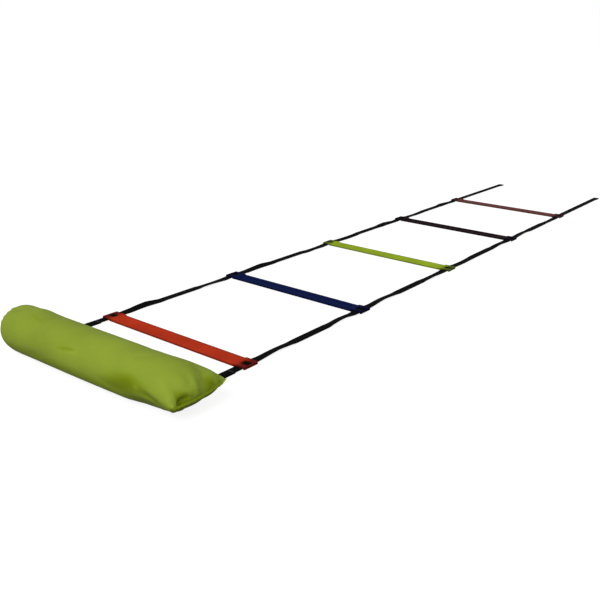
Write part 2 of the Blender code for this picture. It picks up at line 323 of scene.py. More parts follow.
pick(rung, "EDGE", upright_corner)
bpy.ops.mesh.bevel(offset=CORNER_ROUND, segments=5, affect="EDGES")
take(rung)
print("plate:", triangles(rung), "triangles")

# %% The strap's way through each keeper
for side in (-1, 1):
    inner, outer = sorted((side * WAY_INNER, side * WAY_OUTER))
    for y_low, y_high, z_low, z_high in (
        (-RUNG_SIDE - OVERRUN, -MIDDLE_BAR_HALF, -OVERRUN, KEEPER_BAR_LOW),
        (MIDDLE_BAR_HALF, RUNG_SIDE + OVERRUN, -OVERRUN, KEEPER_BAR_LOW),
        (-WINDOW_HALF, WINDOW_HALF, MIDDLE_BAR_TOP, RUNG_TOP + OVERRUN),
    ):
        cutter = block("cutter", (inner, y_low, z_low), (outer, y_high, z_high))
        cut(rung, cutter)
close_up(rung)
print("cut rung:", triangles(rung), "triangles")

# %% [markdown]
# A moulding has no sharp edge: the tool can't fill one, and it would cut the webbing. A Bevel
# modifier rounds every edge that turns by more than 25 degrees.

# %% Round the edges
soften = rung.modifiers.new("soften", "BEVEL")
soften.width = EDGE_ROUND
soften.segments = 3
soften.limit_method = "ANGLE"
soften.angle_limit = math.radians(ROUNDED_TURN_DEG)
soften.use_clamp_overlap = True
apply_modifiers(rung)
close_up(rung)
bpy.ops.object.shade_smooth_by_angle(angle=math.radians(RUNG_SMOOTH_DEG))
print("rounded rung:", triangles(rung), "triangles")

# %% [markdown]
# ### Moulded plastic
#
# Polypropylene is satin, never quite even in colour, and gets fine scuffs where shoes and the
# ground rub it. The colour, a slow mottle, fine scratches along the rung and a painted shade
# along its long rims are laid over each other. The keepers get a much darker painted shade,
# where the webbing runs through them. Roughness and bump come from the same noise, so that they
# agree.

# %% Rung colours
RIM_SHADE_WIDTH = 0.004
KEEPER_SHADE_TINT = (0.001, 0.0, 0.004)
RUNG_COLOURS = {
    "rung_1": ("red", (0.450, 0.034, 0.010)),
    "rung_2": ("blue", (0.0015, 0.006, 0.048)),
    "rung_3": ("lime", (0.278, 0.385, 0.019)),
    "rung_4": ("plum", (0.0065, 0.0012, 0.0028)),
    "rung_5": ("brown", (0.118, 0.037, 0.032)),
}


# %% Helpers for a node tree


def mix_colour(nodes, links, factor, low, high, mode="MIX"):
    """A colour mixed from two, each a socket or a plain colour, by a factor socket or number."""
    mix = nodes.new("ShaderNodeMix")
    mix.data_type = "RGBA"
    mix.blend_type = mode
    for socket, value in (("Factor", factor), ("A", low), ("B", high)):
        target = next(s for s in mix.inputs if s.name == socket and s.enabled)
        if isinstance(value, bpy.types.NodeSocket):
            links.new(value, target)
        else:
            target.default_value = value
    return next(s for s in mix.outputs if s.enabled)


def math_node(nodes, links, operation, *values):
    node = nodes.new("ShaderNodeMath")
    node.operation = operation
    for socket, value in zip(node.inputs, values):
        if isinstance(value, bpy.types.NodeSocket):
            links.new(value, socket)
        else:
            socket.default_value = value
    return node.outputs[0]


def spread(nodes, links, value, low, high, to_low=0.0, to_high=1.0):
    """Stretches a value from one range to another."""
    node = nodes.new("ShaderNodeMapRange")
    node.inputs["From Min"].default_value = low
    node.inputs["From Max"].default_value = high
    node.inputs["To Min"].default_value = to_low
    node.inputs["To Max"].default_value = to_high
    links.new(value, node.inputs["Value"])
    return node.outputs["Result"]


def noise(nodes, links, vector, scale, detail=2.0, roughness=0.5):
    node = nodes.new("ShaderNodeTexNoise")
    node.inputs["Scale"].default_value = scale
    node.inputs["Detail"].default_value = detail
    node.inputs["Roughness"].default_value = roughness
    links.new(vector, node.inputs["Vector"])
    return node.outputs["Fac"]


def stretched(nodes, links, vector, scale):
    """The same coordinates, stretched by a factor along each axis."""
    node = nodes.new("ShaderNodeMapping")
    node.inputs["Scale"].default_value = scale
    links.new(vector, node.inputs["Vector"])
    return node.outputs["Vector"]


def bump(nodes, links, height, strength, distance, normal=None):
    node = nodes.new("ShaderNodeBump")
    node.inputs["Strength"].default_value = strength
    node.inputs["Distance"].default_value = distance
    links.new(height, node.inputs["Height"])
    if normal:
        links.new(normal, node.inputs["Normal"])
    return node.outputs["Normal"]


# %% Moulded plastic


def plastic(name, colour, middle_y):
    made, nodes, links, shader = new_material(name)
    place = nodes.new("ShaderNodeTexCoord").outputs["Object"]
    mottle = noise(nodes, links, place, 18.0, 4.0)
    scratch_place = stretched(nodes, links, place, (30.0, 900.0, 900.0))
    scratch = spread(nodes, links, noise(nodes, links, scratch_place, 1.0, 3.0), 0.62, 0.74)
    grain = noise(nodes, links, place, 1400.0, 2.0)
    deep = tuple(c * 0.85 for c in colour) + (1.0,)
    pale = tuple(min(1.0, c * 1.12 + 0.001) for c in colour) + (1.0,)
    worn = tuple(min(1.0, c * 0.9 + 0.012) for c in colour) + (1.0,)
    base = mix_colour(nodes, links, spread(nodes, links, mottle, 0.3, 0.7), deep, pale)
    base = mix_colour(nodes, links, spread(nodes, links, scratch, 0.0, 1.0, 0.0, 0.25), base, worn)
    parts = nodes.new("ShaderNodeSeparateXYZ")
    links.new(place, parts.inputs[0])
    from_middle = math_node(nodes, links, "SUBTRACT", parts.outputs["Y"], middle_y)
    from_middle = math_node(nodes, links, "ABSOLUTE", from_middle)
    # Painted shade along the rung's long rims.
    rim = spread(nodes, links, from_middle, RUNG_SIDE - RIM_SHADE_WIDTH, RUNG_SIDE, 0.0, 0.75)
    rim_shade_colour = tuple(c * 0.35 for c in colour) + (1.0,)
    base = mix_colour(nodes, links, rim, base, rim_shade_colour)
    # Painted shade over the keepers at both ends of the rung.
    outwards = math_node(nodes, links, "ABSOLUTE", parts.outputs["X"])
    way_middle = (WAY_INNER + WAY_OUTER) / 2
    keeper_shade_share = spread(nodes, links, outwards, RAMP_HEAD, way_middle, 0.0, 0.88)
    keeper_shade_colour = tuple(c * 0.16 + d for c, d in zip(colour, KEEPER_SHADE_TINT)) + (1.0,)
    links.new(mix_colour(nodes, links, keeper_shade_share, base, keeper_shade_colour), shader.inputs["Base Color"])
    rough = spread(nodes, links, mottle, 0.2, 0.8, 0.58, 0.74)
    links.new(rough, shader.inputs["Roughness"])
    fine = bump(nodes, links, grain, 0.12, 0.0002)
    links.new(bump(nodes, links, scratch, 0.15, 0.0001, fine), shader.inputs["Normal"])
    shader.inputs["Specular IOR Level"].default_value = 0.010
    return made


# %% Five rungs from one mould
for node, (slot, colour) in RUNG_COLOURS.items():
    piece = rung.copy()
    piece.data = rung.data.copy()
    piece.name = f"{node}_moulding"
    bpy.context.scene.collection.objects.link(piece)
    low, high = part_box(node)
    middle_y = (low.y + high.y) / 2
    piece.data.transform(Matrix.Translation((0, middle_y, 0)))
    piece.data.materials.clear()
    piece.data.materials.append(plastic(f"{slot}_plastic", colour, middle_y))
    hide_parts(node)
    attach(piece, node)
    print(piece.name, "at y", round(middle_y, 3))
bpy.data.objects.remove(rung, do_unlink=True)

# %% [markdown]
# ## The webbing
#
# Each side strap is one length of black polypropylene webbing. It can't be one piece here,
# because the ladder folds at the middle of every bay, so it is cut where nobody sees it, inside
# the keepers, into a length for each bay. A flat face the size of the webbing's section is
# extruded along, then given loops to bend at, and at last laid down: it sags to the ground
# between the rungs and wanders a little, as loose webbing does. By each rung and on both sides
# of each fold, where a rung that is slid along comes to rest, it lies straight.

# %% Webbing sizes and helpers
WEBBING_WIDTH = 0.0190
WEBBING_THICK = 0.0015
WEBBING_LOW = 0.0015
STRAP_X = 0.193
LOOP_PITCH = 0.005
SELVEDGE_ROUND = 0.42 * WEBBING_THICK
WEBBING_SMOOTH_DEG = 40
SAG = 0.0012
GRIP = 0.024
STOP_ROOM = 0.054


def webbing(name, x, start, end):
    """A straight closed length of webbing along Y, with rounded selvedges and many loops."""
    bpy.ops.object.select_all(action="DESELECT")
    middle = (x, start, WEBBING_LOW + WEBBING_THICK / 2)
    bpy.ops.mesh.primitive_plane_add(size=1, location=middle, rotation=(math.pi / 2, 0, 0))
    obj = bpy.context.active_object
    obj.name = name
    obj.scale = (WEBBING_WIDTH, WEBBING_THICK, 1)
    bpy.ops.object.transform_apply(location=True, rotation=True, scale=True)
    pick(obj, "VERT", lambda v: True)
    bpy.ops.mesh.bevel(offset=SELVEDGE_ROUND, segments=3, affect="VERTICES")
    bpy.ops.mesh.select_all(action="SELECT")
    bpy.ops.mesh.extrude_region_move(TRANSFORM_OT_translate={"value": (0, end - start, 0)})
    pick(obj, "EDGE", lambda e: abs(e.verts[0].co.y - e.verts[1].co.y) > SNAP)
    bpy.ops.mesh.subdivide(number_cuts=max(2, round((end - start) / LOOP_PITCH)))
    close_up(obj)
    return obj


# %% Helpers that map and lay the webbing


def map_flat(obj):
    """Gives each point of a strip its place across and along the webbing, in metres."""
    layer = obj.data.uv_layers.new(name="weave")
    for loop in obj.data.loops:
        co = obj.data.vertices[loop.vertex_index].co
        layer.data[loop.index].uv = (co.x, co.y)


def lay(obj, x, start, fold, end, bows, rolls):
    """Sags a strip to the ground, bowed and rolled over, wherever no rung may come to rest."""
    middle = WEBBING_LOW + WEBBING_THICK / 2
    spans = ((start + GRIP, fold - STOP_ROOM), (fold + STOP_ROOM, end - GRIP))
    for vertex in obj.data.vertices:
        half = 0 if vertex.co.y < fold else 1
        low, high = spans[half]
        share = min(max((vertex.co.y - low) / (high - low), 0.0), 1.0)
        free = min(1.0, 8 * share * (1 - share))
        turn = math.radians(np.interp(vertex.co.y, *zip(*rolls))) * free
        across, up = vertex.co.x - x, vertex.co.z - middle
        side = bows[half] * math.sin(math.pi * share) ** 2
        lift = abs(math.sin(turn)) * WEBBING_WIDTH / 2
        vertex.co.x = x + side + across * math.cos(turn) - up * math.sin(turn)
        rise = lift - SAG * free
        vertex.co.z = middle + rise + across * math.sin(turn) + up * math.cos(turn)


# %% [markdown]
# ### Woven polypropylene
#
# Webbing is woven in a herringbone: the yarns rise and fall in small V shapes along the strap.
# The pattern follows the strap, so it reads the strip's own map, which is in metres. Two
# triangle waves make the V's, and a fine noise breaks up the yarns.

# %% Webbing material
RIB_PITCH = 0.0013
CHEVRON_WIDTH = 0.0048


def woven(name, colour):
    made, nodes, links, shader = new_material(name)
    map_node = nodes.new("ShaderNodeUVMap")
    map_node.uv_map = "weave"
    parts = nodes.new("ShaderNodeSeparateXYZ")
    links.new(map_node.outputs["UV"], parts.inputs[0])
    across, along = parts.outputs["X"], parts.outputs["Y"]
    zigzag = math_node(nodes, links, "PINGPONG", across, CHEVRON_WIDTH / 2)
    shifted = math_node(nodes, links, "ADD", along, zigzag)
    rib = math_node(nodes, links, "PINGPONG", shifted, RIB_PITCH / 2)
    rib = spread(nodes, links, rib, 0.0, RIB_PITCH / 2)
    place = nodes.new("ShaderNodeTexCoord").outputs["Object"]
    fibre = noise(nodes, links, stretched(nodes, links, place, (2600.0, 500.0, 2600.0)), 1.0, 3.0)
    dust = noise(nodes, links, place, 22.0, 4.0)
    deep = tuple(c * 0.5 for c in colour) + (1.0,)
    pale = tuple(c * 1.6 + 0.0005 for c in colour) + (1.0,)
    base = mix_colour(nodes, links, rib, deep, pale)
    grey = (0.012, 0.0115, 0.011, 1.0)
    links.new(
        mix_colour(nodes, links, spread(nodes, links, dust, 0.55, 0.9, 0.0, 0.3), base, grey),
        shader.inputs["Base Color"],
    )
    links.new(spread(nodes, links, fibre, 0.2, 0.8, 0.75, 0.95), shader.inputs["Roughness"])
    shader.inputs["Specular IOR Level"].default_value = 0.010
    fine = bump(nodes, links, fibre, 0.35, 0.0001)
    links.new(bump(nodes, links, rib, 0.8, 0.00025, fine), shader.inputs["Normal"])
    return made


webbing_cloth = woven("black_webbing", (0.0032, 0.0032, 0.0035))
print("material:", webbing_cloth.name)

# %% How the straps lie in the bays
rung_y = [(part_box(f"rung_{i}")[0].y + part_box(f"rung_{i}")[1].y) / 2 for i in range(1, 6)]
fold_y = [0.2, 0.6, 1.0, 1.4]
# How far the webbing bows sideways in each half of each bay.
BOWS = {
    "left": (-0.003, 0.001, -0.002, 0.002, 0.002, -0.001, 0.002, -0.002),
    "right": (-0.002, -0.003, -0.003, 0.001, 0.002, -0.002, -0.002, 0.002),
}
# How far the webbing is rolled over, in degrees, at places along it: (y, roll).
ROLLS = {
    "left": (
        (0.05, -6), (0.10, -15), (0.15, 0), (0.21, 9), (0.30, 9), (0.35, 0),
        (0.44, -4), (0.50, -12), (0.55, 0), (0.60, 6), (0.65, -8), (0.71, 5), (0.76, 0),
        (0.86, -2), (0.95, 0), (1.05, -7), (1.10, -13), (1.16, 0),
        (1.26, 4), (1.33, 2), (1.40, 0), (1.48, -11), (1.55, 0),
    ),
    "right": (
        (0.04, 6), (0.09, 12), (0.13, 8), (0.20, 0), (0.27, 10), (0.32, 12), (0.35, 4),
        (0.43, 6), (0.48, 12), (0.53, 8), (0.60, 0), (0.67, 8), (0.71, 12), (0.76, 4),
        (0.84, 3), (0.90, 6), (0.95, 2), (1.06, 4), (1.12, 8), (1.17, 2),
        (1.24, 6), (1.30, 10), (1.35, 4), (1.46, 6), (1.52, 9), (1.56, 2),
    ),
}
SIDES = (("left", -1), ("right", 1))

# %% Straps in the bays
for side_name, side in SIDES:
    x = side * STRAP_X
    for bay in range(1, 5):
        start, end = rung_y[bay - 1], rung_y[bay]
        strip = webbing(f"strap_{side_name}_bay_{bay}", x, start, end)
        map_flat(strip)
        fold = fold_y[bay - 1]
        lay(strip, x, start, fold, end, BOWS[side_name][2 * bay - 2 : 2 * bay], ROLLS[side_name])
        strip.data.materials.append(webbing_cloth)
        take(strip)
        bpy.ops.object.shade_smooth_by_angle(angle=math.radians(WEBBING_SMOOTH_DEG))
        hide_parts(f"strap_{side_name}_{bay}", f"strap_{side_name}_{bay + 1}")
        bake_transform(strip)
    print(side_name, "strap: four bays")

# %% [markdown]
# ### Folded ends
#
# A cut end of webbing frays, so each end is folded under and sewn down. The last face of the
# strip is spun half a turn about the fold, then extruded back under the strap.

# %% Tails with folded ends
NEAR_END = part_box("strap_left_1")[0].y
FAR_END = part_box("strap_left_5")[1].y
NEAR_HEM = 0.110
FAR_HEM = 0.030


def tail(name, x, start, end, hem):
    """Webbing from start to end, folded under at its end for the length of the hem."""
    way = 1 if end > start else -1
    turn_at = end - way * WEBBING_THICK
    strip = webbing(name, x, min(start, turn_at), max(start, turn_at))
    face_y = turn_at
    pick(strip, "FACE", lambda f: all(abs(v.co.y - face_y) < SNAP for v in f.verts))
    bpy.ops.mesh.spin(
        steps=8,
        angle=-way * math.pi,
        center=(x, turn_at, WEBBING_LOW),
        axis=(-1, 0, 0),
    )
    bpy.ops.mesh.extrude_region_move(
        TRANSFORM_OT_translate={"value": (0, -way * (hem - WEBBING_THICK), 0)}
    )
    close_up(strip)
    return strip


for side_name, side in SIDES:
    x = side * STRAP_X
    near = tail(f"strap_{side_name}_near_tail", x, rung_y[0], NEAR_END, NEAR_HEM)
    far = tail(f"strap_{side_name}_far_tail", x, rung_y[4], FAR_END, FAR_HEM)
    for strip, body, node in ((near, "section_1", 1), (far, "section_5", 5)):
        map_flat(strip)
        strip.data.materials.append(webbing_cloth)
        take(strip)
        bpy.ops.object.shade_smooth_by_angle(angle=math.radians(WEBBING_SMOOTH_DEG))
        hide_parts(f"strap_{side_name}_{node}")
        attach(strip, body)
        low, high = strip.bound_box[0], strip.bound_box[6]
        print(strip.name, [round(v * 1000, 1) for v in (*low, *high)])

# %% [markdown]
# ## The bar tacks
#
# A folded end of webbing is held by a bar tack: some thirty close zigzag stitches across the
# strap. Each stitch is a short length of thread that rises from one hole and sinks into the
# next, so a small sphere drawn out along the strap gives its form. One is shaped, and the rest
# are copies of its mesh in one piece.

# %% Stitches
STITCH_FACES = 8


def stitch(length, thickness):
    """One stitch lying along Y, its middle at the origin."""
    bpy.ops.object.select_all(action="DESELECT")
    bpy.ops.mesh.primitive_uv_sphere_add(segments=STITCH_FACES, ring_count=6, radius=0.5)
    obj = bpy.context.active_object
    obj.scale = (thickness, length, thickness)
    bpy.ops.object.transform_apply(location=True, rotation=True, scale=True)
    bpy.ops.object.shade_smooth()
    return obj


def sew(name, places, length, thickness):
    """One piece made of a stitch at each place: a matrix from the stitch's own frame."""
    pattern = stitch(length, thickness)
    row = []
    for place in places:
        copy = pattern.copy()
        copy.data = pattern.data.copy()
        copy.data.transform(place)
        bpy.context.scene.collection.objects.link(copy)
        row.append(copy)
    bpy.data.objects.remove(pattern, do_unlink=True)
    take(row[0])
    for copy in row:
        copy.select_set(True)
    bpy.ops.object.join()
    row[0].name = name
    row[0].data.materials.clear()
    return row[0]


# %% Sewing thread


def thread(name, colour):
    """Polyester sewing thread: two plies twisted, with a soft sheen."""
    made, nodes, links, shader = new_material(name)
    place = nodes.new("ShaderNodeTexCoord").outputs["Object"]
    ply = noise(nodes, links, stretched(nodes, links, place, (2200.0, 2200.0, 2200.0)), 1.0, 2.0)
    deep = tuple(c * 0.6 for c in colour) + (1.0,)
    pale = tuple(c * 1.5 + 0.004 for c in colour) + (1.0,)
    links.new(
        mix_colour(nodes, links, spread(nodes, links, ply, 0.35, 0.65), deep, pale),
        shader.inputs["Base Color"],
    )
    shader.inputs["Roughness"].default_value = 0.6
    shader.inputs["Specular IOR Level"].default_value = 0.3
    links.new(bump(nodes, links, ply, 0.5, 0.0001), shader.inputs["Normal"])
    return made


black_thread = thread("black_thread", (0.013, 0.013, 0.014))
print("material:", black_thread.name)

# %% Bar tacks
TACK_PITCH = 0.00052
THREAD = 0.00062
TACK_SLANT_DEG = 7.0
THREAD_SINK = 0.28

for end_name, body in (("near", "section_1"), ("far", "section_5")):
    for side_name, side in SIDES:
        node = f"tack_{end_name}_{side_name}"
        low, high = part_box(node)
        count = int((high.x - low.x) / TACK_PITCH)
        places = []
        for i in range(count):
            x = low.x + TACK_PITCH * (i + 0.5)
            place = Matrix.Translation((x, (low.y + high.y) / 2, low.z + THREAD * THREAD_SINK))
            slant = math.radians(TACK_SLANT_DEG if i % 2 else -TACK_SLANT_DEG)
            places.append(place @ Matrix.Rotation(slant, 4, "Z"))
        tack = sew(f"{node}_stitches", places, high.y - low.y, THREAD)
        tack.data.materials.append(black_thread)
        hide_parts(node)
        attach(tack, body)
print("stitches in a bar tack:", count)

# %% [markdown]
# ## The carry bag
#
# The bag is a tube of thin nylon cloth, about 290 mm round, sewn flat across one end, gathered
# at the other and stuffed tight. Pulling a round tube flat at its seam is what gives such a bag
# its wedge-shaped end with two corners, and the spare cloth there puckers. So the tube is made as
# a loft: a cylinder is cut into rings, and each ring is laid on the bag's section at its place.
# All of it is made about a point under the bag's middle, with X along it, then set down.

# %% The bag's section from end to end
BAG_MIDDLE = (0.0245, -0.214, 0)
BAG_TURN_DEG = 1.4
BAG_PLACE = Matrix.Translation(BAG_MIDDLE) @ Matrix.Rotation(math.radians(BAG_TURN_DEG), 4, "Z")
BAG_LENGTH = 0.476
BAG_HALF_DEPTH = 0.0485
BAG_HALF_HEIGHT = 0.04525
BAG_SAG = 0.0020
SHOULDER_LENGTH = 0.058
SHOULDER_POWER = 4.0
NECK_RADIUS = 0.012
NECK_HEIGHT = 0.050
WEDGE_LENGTH = 0.085
WEDGE_POWER = 2.4
WEDGE_RISE_POWER = 1.6
SEAM_HALF_WIDTH = 0.0595
SEAM_HEIGHT = 0.038
SEAM_SET_BACK = 0.016
SEAM_TILT_DEG = 4.6
SEAM_BOW = 0.0085
SEAM_BOW_CENTRE = 0.25
CLOTH = 0.0008


# %% How the section changes along the bag


def smooth(share):
    share = min(max(share, 0.0), 1.0)
    return share * share * (3 - 2 * share)


def between(a, b, share):
    return a + (b - a) * share


def seam_bow(share):
    """How far the seam stands out at a place across it, from -1 to 1: most at its back half."""
    return SEAM_BOW * (1 - ((share - SEAM_BOW_CENTRE) / (1 + SEAM_BOW_CENTRE)) ** 2)


def bag_section(x):
    """Centre and half sizes of the bag's section at x: (y, z, half depth, half height, tilt)."""
    centre_z = BAG_HALF_HEIGHT - BAG_SAG
    neck_share = (-BAG_LENGTH / 2 + SHOULDER_LENGTH - x) / SHOULDER_LENGTH
    wedge_share = (x - BAG_LENGTH / 2 + WEDGE_LENGTH) / WEDGE_LENGTH
    if neck_share > 0:
        full = math.sqrt(max(1 - neck_share**SHOULDER_POWER, 0.0))
        depth = between(NECK_RADIUS, BAG_HALF_DEPTH, full)
        height = between(NECK_RADIUS, BAG_HALF_HEIGHT, full)
        return 0.0, between(centre_z, NECK_HEIGHT, neck_share**2), depth, height, 0.0
    if wedge_share > 0:
        wedge_share = min(wedge_share, 1.0)
        turn = smooth(wedge_share)
        full = math.sqrt(max(1 - wedge_share**WEDGE_POWER, 0.0))
        depth = between(BAG_HALF_DEPTH, SEAM_HALF_WIDTH, turn)
        height = between(CLOTH, BAG_HALF_HEIGHT, full)
        centre_z = between(centre_z, SEAM_HEIGHT, wedge_share**WEDGE_RISE_POWER)
        return SEAM_SET_BACK * turn, centre_z, depth, height, math.radians(SEAM_TILT_DEG) * turn
    return 0.0, centre_z, BAG_HALF_DEPTH, BAG_HALF_HEIGHT, 0.0


# %% A tube with even cloth round each ring
BAG_SIDES = 120
RING_PITCH = 0.004
SHOULDER_RINGS = 16
WEDGE_RINGS = 30
OUTLINE_POINTS = 1441


def ring_places():
    """Where the rings go: even along the middle, and closer where the bag turns in."""
    straight = BAG_LENGTH - SHOULDER_LENGTH - WEDGE_LENGTH
    neck_end = -BAG_LENGTH / 2 + SHOULDER_LENGTH
    wedge_start = BAG_LENGTH / 2 - WEDGE_LENGTH
    quarter = math.pi / 2
    places = [
        neck_end - SHOULDER_LENGTH * math.cos(quarter * i / SHOULDER_RINGS)
        for i in range(SHOULDER_RINGS)
    ]
    count = round(straight / RING_PITCH)
    places += [neck_end + straight * i / count for i in range(count)]
    places += [
        wedge_start + WEDGE_LENGTH * math.sin(quarter * i / WEDGE_RINGS)
        for i in range(WEDGE_RINGS + 1)
    ]
    return places


def ring_points(x):
    """Points evenly spaced round the section at x, and the way round it."""
    y, z, depth, height, tilt = bag_section(x)
    fine = np.linspace(0, 2 * math.pi, OUTLINE_POINTS)
    steps = np.hypot(np.diff(depth * np.cos(fine)), np.diff(height * np.sin(fine)))
    way = np.concatenate([[0.0], np.cumsum(steps)])
    turn = np.interp(np.arange(BAG_SIDES) / BAG_SIDES * way[-1], way, fine)
    across, up = depth * np.cos(turn), height * np.sin(turn)
    points = np.zeros((BAG_SIDES, 3))
    points[:, 0] = x
    points[:, 1] = y + across * math.cos(tilt) - up * math.sin(tilt)
    points[:, 2] = np.maximum(z + across * math.sin(tilt) + up * math.cos(tilt), 0.0)
    return points, way[-1]


# %% A cylinder in rings


def tube(name, rings, sides):
    """An open cylinder of radius 1 along X, cut into rings, and each vertex's (ring, side)."""
    bpy.ops.object.select_all(action="DESELECT")
    bpy.ops.mesh.primitive_cylinder_add(
        vertices=sides, radius=1, depth=1, end_fill_type="NOTHING", rotation=(0, math.pi / 2, 0)
    )
    obj = bpy.context.active_object
    obj.name = name
    bpy.ops.object.transform_apply(location=True, rotation=True, scale=True)
    pick(obj, "EDGE", lambda e: abs(e.verts[0].co.x - e.verts[1].co.x) > 0.5)
    bpy.ops.mesh.subdivide(number_cuts=rings - 2)
    close_up(obj)
    co = vertex_places(obj)
    ring = np.rint((co[:, 0] + 0.5) * (rings - 1)).astype(int)
    turn = np.arctan2(co[:, 2], co[:, 1]) % (2 * math.pi)
    side = np.rint(turn / (2 * math.pi) * sides).astype(int) % sides
    return obj, ring, side


def vertex_places(obj):
    places = np.zeros(len(obj.data.vertices) * 3)
    obj.data.vertices.foreach_get("co", places)
    return places.reshape(-1, 3)


def move_to(obj, places):
    obj.data.vertices.foreach_set("co", places.ravel())
    obj.data.update()


# %% Loft the bag
places = ring_places()
sections = [ring_points(x) for x in places]
loft = np.array([points for points, way in sections])
girth = np.array([way for points, way in sections])
bag, ring, side = tube("bag_cloth", len(places), BAG_SIDES)
print("rings:", len(places), "girth mm:", [round(1000 * girth[i]) for i in (0, 60, -1)])

# %% [markdown]
# The cloth's own map goes on next, in metres round and along the bag, so that the weave follows
# the cloth wherever it goes. A face that crosses the join takes the full girth, not nought.

# %% Lay the rings on the sections, and map the cloth
runs = np.linalg.norm(np.diff(loft, axis=0), axis=2)
columns = np.concatenate([np.zeros((1, BAG_SIDES)), np.cumsum(runs, axis=0)])
along = columns[:, BAG_SIDES // 4]
FULL_GIRTH = girth[len(places) // 2]


def map_cloth(obj, ring, side, along, girth, sides):
    layer = obj.data.uv_layers.new(name="weave")
    for face in obj.data.polygons:
        turns = [side[v] for v in face.vertices]
        crosses = max(turns) - min(turns) > sides / 2
        for loop in face.loop_indices:
            vertex = obj.data.loops[loop].vertex_index
            turn = side[vertex] + (sides if crosses and side[vertex] < sides / 2 else 0)
            layer.data[loop].uv = (girth * turn / sides, along[ring[vertex]])


map_cloth(bag, ring, side, along, FULL_GIRTH, BAG_SIDES)
move_to(bag, loft[ring, side])
pick(bag, "FACE", lambda f: True)
bpy.ops.mesh.normals_make_consistent(inside=False)
take(bag)
print("cloth along the top:", round(1000 * along[-1]), "mm")

# %% [markdown]
# ### Filling the bag
#
# Blender's Cloth blows the tube up from inside. Its rest shape is the tube as it was sewn, a
# straight cylinder a little longer and wider than the loft, so the cloth has something to spare
# and falls into soft folds by itself. Where the tube is drawn in flat at the seam it keeps its
# whole girth. The broad swelling is then taken out again, because the loft already has the
# right outline, and only the folds are kept. No fold may move the cloth more than a few
# millimetres.

# %% Cloth simulation
SPARE_CLOTH = 1.02
SIM_FRAMES = 20
FOLD_CAP = 0.006
KEPT_SWELL = 0.15
BROAD_AROUND = BAG_SIDES / 14
BROAD_ALONG = 8.0


def blurred(values, around, lengthways):
    """Evens out a grid of values, round the tube and along it, with a bell-shaped brush."""
    reach = int(3 * around) + 1
    brush = np.exp(-0.5 * (np.arange(-reach, reach + 1) / around) ** 2)
    even = sum(w * np.roll(values, o - reach, axis=1) for o, w in enumerate(brush / brush.sum()))
    reach = int(3 * lengthways) + 1
    brush = np.exp(-0.5 * (np.arange(-reach, reach + 1) / lengthways) ** 2)
    padded = np.concatenate(
        [np.repeat(even[:1], reach, 0), even, np.repeat(even[-1:], reach, 0)]
    )
    count = len(values)
    return sum(w * padded[o : o + count] for o, w in enumerate(brush / brush.sum()))


# %% Blow the bag up


def fill_bag(obj):
    """Runs the cloth and gives back how far it moved, as a grid of (ring, side)."""
    radius = np.where(np.array(places) > 0, FULL_GIRTH, girth) * SPARE_CLOTH / (2 * math.pi)
    turn = 2 * math.pi * side / BAG_SIDES
    sewn = np.stack([along[ring], radius[ring] * np.cos(turn), radius[ring] * np.sin(turn)], 1)
    obj.shape_key_add(name="stuffed")
    rest = obj.shape_key_add(name="sewn")
    rest.data.foreach_set("co", sewn.ravel())
    rest.value = 0.0
    held = obj.vertex_groups.new(name="held")
    ends = [int(v) for v in np.flatnonzero((ring < 2) | (ring == len(places) - 1))]
    held.add(ends, 1.0, "REPLACE")
    cloth = obj.modifiers.new("cloth", "CLOTH")
    settings = cloth.settings
    settings.vertex_group_mass = "held"
    settings.rest_shape_key = rest
    settings.quality = 6
    settings.mass = 0.15
    settings.tension_stiffness = 25
    settings.compression_stiffness = 25
    settings.shear_stiffness = 8
    settings.bending_stiffness = 0.02
    settings.use_pressure = True
    settings.uniform_pressure_force = 2.5
    settings.effector_weights.gravity = 0.0
    cloth.collision_settings.use_collision = False
    cloth.point_cache.frame_end = SIM_FRAMES
    for step in range(1, SIM_FRAMES + 1):
        bpy.context.scene.frame_set(step)
    seen = obj.evaluated_get(bpy.context.evaluated_depsgraph_get())
    moved = np.zeros(len(obj.data.vertices) * 3)
    seen.data.vertices.foreach_get("co", moved)
    obj.modifiers.remove(cloth)
    obj.shape_key_clear()
    bpy.context.scene.frame_set(1)
    grid = np.zeros(loft.shape)
    grid[ring, side] = moved.reshape(-1, 3) - loft[ring, side]
    return grid


# %% Keep the folds
swell = fill_bag(bag)
broad = blurred(swell, BROAD_AROUND, BROAD_ALONG)
folds = swell - broad
size = np.linalg.norm(folds, axis=2, keepdims=True)
folds *= np.minimum(1.0, FOLD_CAP / np.maximum(size, 1e-9))
stuffed = loft + folds + KEPT_SWELL * broad
stuffed[:, :, 2] = np.maximum(stuffed[:, :, 2], 0.0)
move_to(bag, stuffed[ring, side])
print("swell up to", round(1000 * np.linalg.norm(swell, axis=2).max(), 1), "mm")
print("folds up to", round(1000 * size.max(), 1), "mm")
